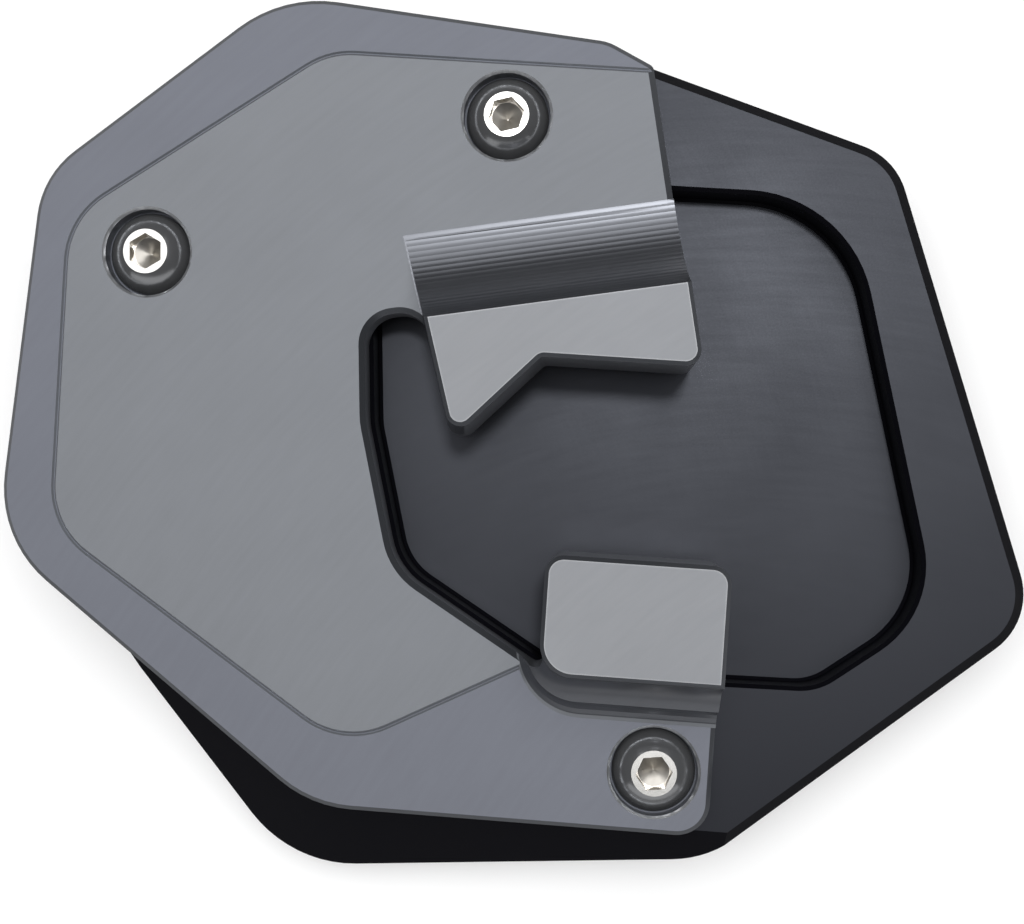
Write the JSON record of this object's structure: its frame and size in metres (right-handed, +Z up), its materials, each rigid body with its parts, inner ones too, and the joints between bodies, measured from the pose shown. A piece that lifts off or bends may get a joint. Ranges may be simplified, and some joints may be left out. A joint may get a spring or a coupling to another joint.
{
  "type": "kickstand foot enlarger",
  "caption": "Wide aluminium shoe for a motorcycle side stand: a black base plate with a foot pocket, and a gray clamp plate with a hook and a lug, held by button head screws.",
  "frame": {"origin": "under the middle of the whole part's box, on the plane that the base plate stands on", "axes": "+Z up from the ground, through the base plate and the clamp plate; +Y towards the end with the hook boss; +X towards the open end of the foot pocket"},
  "size_m": [0.1298, 0.1118, 0.026],
  "materials": {
    "black_anodised_aluminium": "satin black anodised, finely milled",
    "gray_anodised_aluminium": "satin gray anodised, bead blasted",
    "stainless_steel": "bright cold-headed"
  },
  "bodies": {
    "root": {"base_plate": "black_anodised_aluminium", "clamp_plate": "gray_anodised_aluminium", "left_screw_m6": "stainless_steel", "top_screw_m6": "stainless_steel", "tab_screw_m6": "stainless_steel"}
  },
  "joints": []
}
